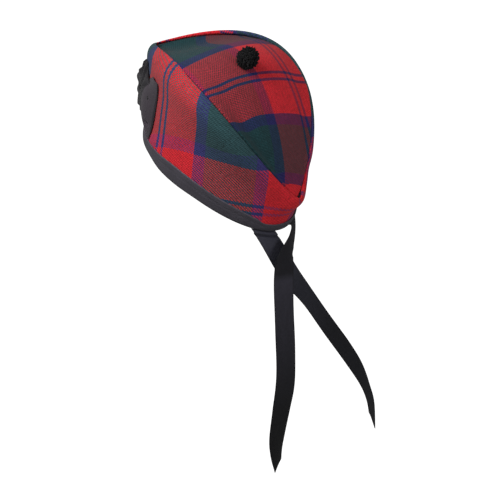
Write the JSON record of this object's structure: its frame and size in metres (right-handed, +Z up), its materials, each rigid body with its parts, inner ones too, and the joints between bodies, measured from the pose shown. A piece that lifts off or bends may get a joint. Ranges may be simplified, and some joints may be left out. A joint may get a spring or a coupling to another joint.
{
  "type": "glengarry cap",
  "caption": "Boat-shaped tartan wool cap as worn, with a leaf-shaped crown, ribbon band, toorie, side cockade and hanging ribbon tails.",
  "frame": {"origin": "The middle of the head opening, in the plane of the rim, where the cap sits on a head.", "axes": "+Z is up as worn, -Y is the front of the cap and +X is the wearer's left; the cap tips back, and the tails hang down along -Z."},
  "size_m": [0.1898, 0.2786, 0.5327],
  "materials": {
    "tartan_crown": "matte woollen twill in a red, navy and green tartan",
    "tartan_side": "matte woollen twill in a red, navy and green tartan",
    "band_ribbon": "grey-black ribbed ribbon with a soft sheen",
    "tail_ribbon": "black ribbed ribbon with a soft sheen",
    "toorie_wool": "cut black wool pile",
    "cockade_ribbon": "grey-black gathered ribbon"
  },
  "bodies": {
    "root": {"crown": "tartan_crown", "side_left": "tartan_side", "side_right": "tartan_side", "band": "band_ribbon", "tail_left": "tail_ribbon", "tail_right": "tail_ribbon", "toorie": "toorie_wool", "cockade_tab": "cockade_ribbon", "cockade_rosette": "cockade_ribbon"}
  },
  "joints": []
}
